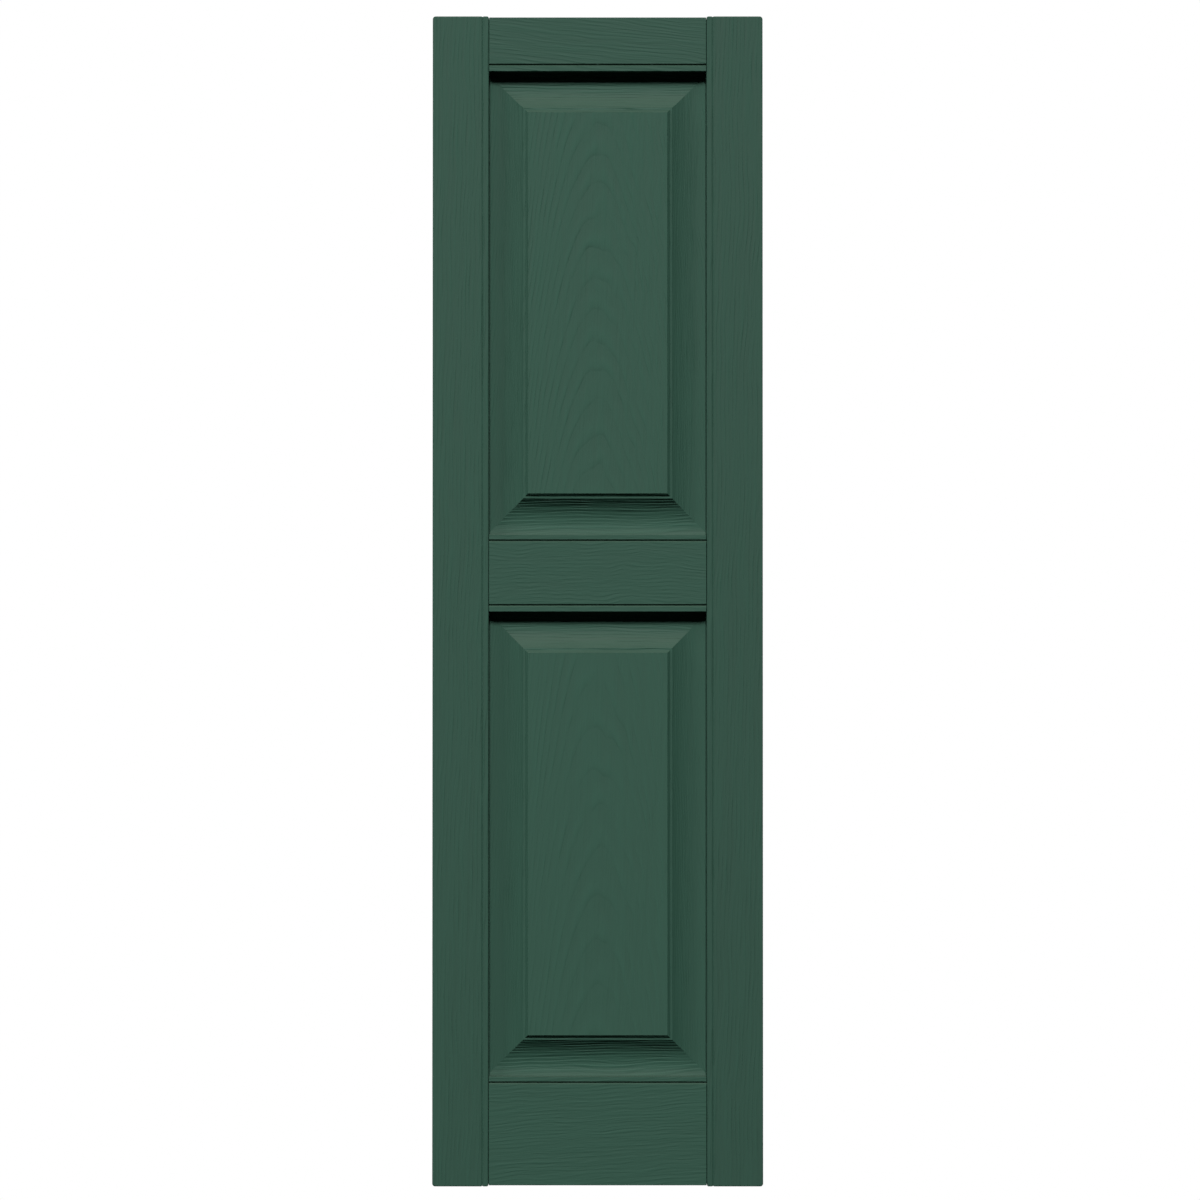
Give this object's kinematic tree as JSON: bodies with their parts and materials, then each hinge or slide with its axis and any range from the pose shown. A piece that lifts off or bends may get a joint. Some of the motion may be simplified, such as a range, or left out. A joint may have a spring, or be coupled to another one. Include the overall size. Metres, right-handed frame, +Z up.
{
  "type": "raised panel shutter",
  "caption": "Moulded plastic exterior wall shutter with raised coved panels framed by beaded stiles and rails, hollow and ribbed at the back, forest green with embossed woodgrain.",
  "frame": {"origin": "middle of the back, half way up and half way across, on the wall plane that the rear rims lie in", "axes": "+Z up along the stiles, +X to the right seen from the front, +Y into the wall, so the front faces -Y"},
  "size_m": [0.3746, 0.0286, 1.327],
  "materials": {
    "green_plastic": "semi-matte moulded polypropylene, forest green, embossed woodgrain"
  },
  "bodies": {
    "root": {"left_stile": "green_plastic", "right_stile": "green_plastic", "top_rail": "green_plastic", "middle_rail": "green_plastic", "bottom_rail": "green_plastic", "upper_panel": "green_plastic", "lower_panel": "green_plastic"}
  },
  "joints": []
}
